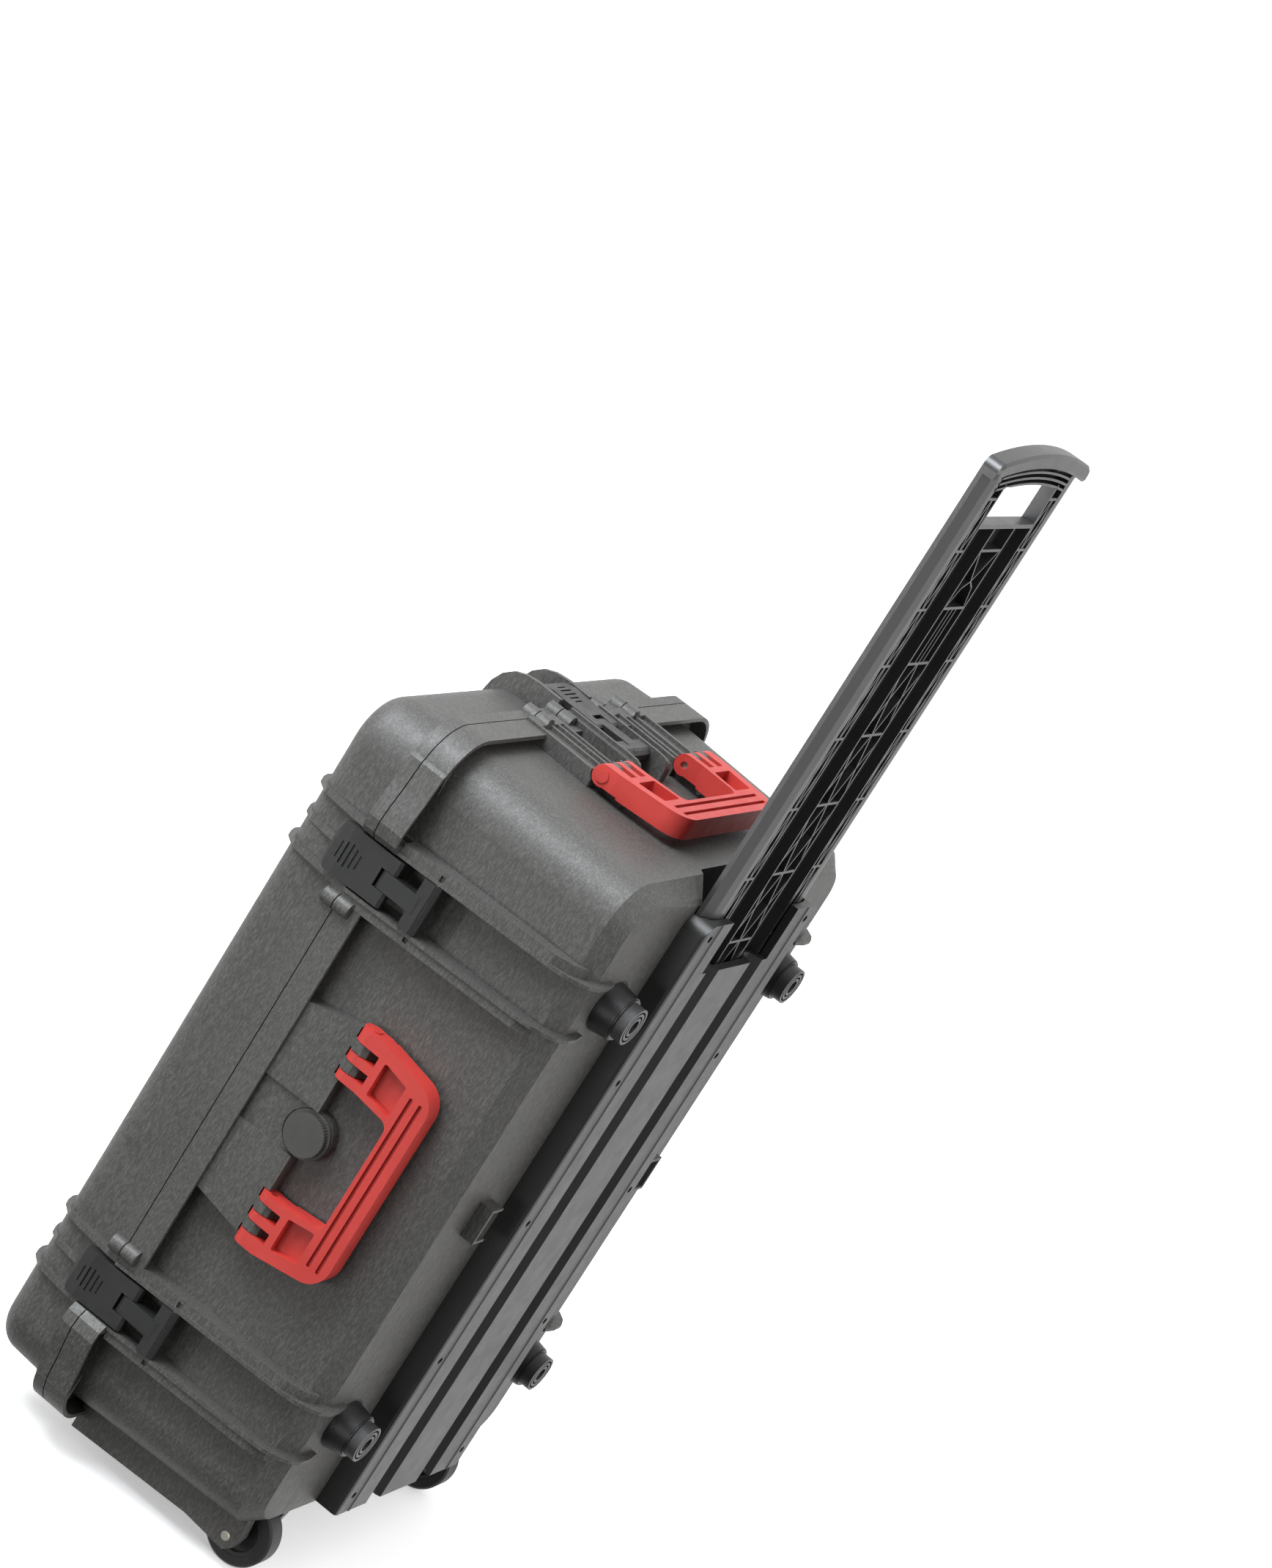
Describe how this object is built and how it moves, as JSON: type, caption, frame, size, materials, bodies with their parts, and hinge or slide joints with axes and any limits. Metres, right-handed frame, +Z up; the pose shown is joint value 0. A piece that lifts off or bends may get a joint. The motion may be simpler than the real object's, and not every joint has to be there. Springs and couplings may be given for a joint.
{
  "type": "rolling tool case",
  "caption": "Wheeled hard case with a hinged lid, folding latches, swinging carry handles, a pull-out trolley handle and a pressure valve, standing on its wheel end.",
  "frame": {"origin": "middle of the case on the ground under its wheels, with the case standing on its wheel end", "axes": "+Z up along the case and its trolley handle, -Y towards the latch side, +X towards the underside with the feet, -X towards the lid"},
  "size_m": [0.292, 0.5016, 1.055],
  "materials": {
    "shell": "grained polypropylene",
    "housing": "satin moulded plastic",
    "trolley": "semi-gloss moulded plastic",
    "red_grip": "satin red plastic",
    "latch": "semi-gloss black plastic",
    "steel": "plain steel",
    "gasket": "matt",
    "tyre": "matt",
    "hub": "matt",
    "foot": "matt with moulded rings",
    "valve": "satin"
  },
  "bodies": {
    "base": {"base_shell": "shell", "hinge_pins": "steel", "trolley_housing": "housing", "housing_screws": "steel", "foot_pads": "foot", "foot_screws": "steel", "valve_body": "valve", "valve_nut": "valve", "valve_seal": "gasket", "axle_front": "steel", "axle_rear": "steel", "axle_bushes": "hub", "front_handle_pins": "steel", "end_handle_pins": "steel", "link_pin_upper": "steel", "link_pin_lower": "steel", "link_pin_end": "steel"},
    "lid": {"lid_shell": "shell", "lid_gasket": "gasket"},
    "front_handle": {"front_handle": "red_grip"},
    "end_handle": {"end_handle": "red_grip"},
    "trolley": {"trolley_handle": "trolley"},
    "wheel_front": {"tyre_front": "tyre", "hub_front": "hub"},
    "wheel_rear": {"tyre_rear": "tyre", "hub_rear": "hub"},
    "knob": {"valve_knob": "valve"},
    "link_upper": {"latch_link_upper": "latch"},
    "lever_upper": {"latch_lever_upper": "latch", "lever_pin_upper": "steel"},
    "link_lower": {"latch_link_lower": "latch"},
    "lever_lower": {"latch_lever_lower": "latch", "lever_pin_lower": "steel"},
    "link_end": {"latch_link_end": "latch"},
    "lever_end": {"latch_lever_end": "latch", "lever_pin_end": "steel"}
  },
  "joints": [
    {"name": "lid_hinge", "type": "hinge", "parent": "base", "child": "lid", "pos_m": [-0.0738, 0.243, 0.3516], "axis": [0, 0, -1], "range_deg": [0, 100]},
    {"name": "front_handle_swing", "type": "hinge", "parent": "base", "child": "front_handle", "pos_m": [0.002, -0.231, 0.3516], "axis": [0, 0, -1], "range_deg": [0, 90]},
    {"name": "end_handle_swing", "type": "hinge", "parent": "base", "child": "end_handle", "pos_m": [0.002, 0, 0.6746], "axis": [0, -1, 0], "range_deg": [0, 90]},
    {"name": "trolley_slide", "type": "slide", "parent": "base", "child": "trolley", "axis": [0, 0, 1], "range_m": [-0.39, 0]},
    {"name": "wheel_front_spin", "type": "hinge", "parent": "base", "child": "wheel_front", "pos_m": [0.0981, -0.15485, 0.0295], "axis": [0, 1, 0], "continuous": true},
    {"name": "wheel_rear_spin", "type": "hinge", "parent": "base", "child": "wheel_rear", "pos_m": [0.0981, 0.15485, 0.0295], "axis": [0, 1, 0], "continuous": true},
    {"name": "valve_knob_turn", "type": "hinge", "parent": "base", "child": "knob", "pos_m": [-0.0015, -0.2335, 0.3516], "axis": [0, 1, 0], "range_deg": [0, 90]},
    {"name": "link_upper_swing", "type": "hinge", "parent": "base", "child": "link_upper", "pos_m": [-0.014, -0.2365, 0.5516], "axis": [0, 0, 1], "range_deg": [0, 45]},
    {"name": "lever_upper_swing", "type": "hinge", "parent": "link_upper", "child": "lever_upper", "pos_m": [-0.05, -0.2365, 0.5516], "axis": [0, 0, 1], "range_deg": [0, 90]},
    {"name": "link_lower_swing", "type": "hinge", "parent": "base", "child": "link_lower", "pos_m": [-0.014, -0.2365, 0.1516], "axis": [0, 0, 1], "range_deg": [0, 45]},
    {"name": "lever_lower_swing", "type": "hinge", "parent": "link_lower", "child": "lever_lower", "pos_m": [-0.05, -0.2365, 0.1516], "axis": [0, 0, 1], "range_deg": [0, 90]},
    {"name": "link_end_swing", "type": "hinge", "parent": "base", "child": "link_end", "pos_m": [-0.02, 0, 0.6735], "axis": [0, 1, 0], "range_deg": [0, 45]},
    {"name": "lever_end_swing", "type": "hinge", "parent": "link_end", "child": "lever_end", "pos_m": [-0.056, 0, 0.6735], "axis": [0, 1, 0], "range_deg": [0, 72]}
  ]
}
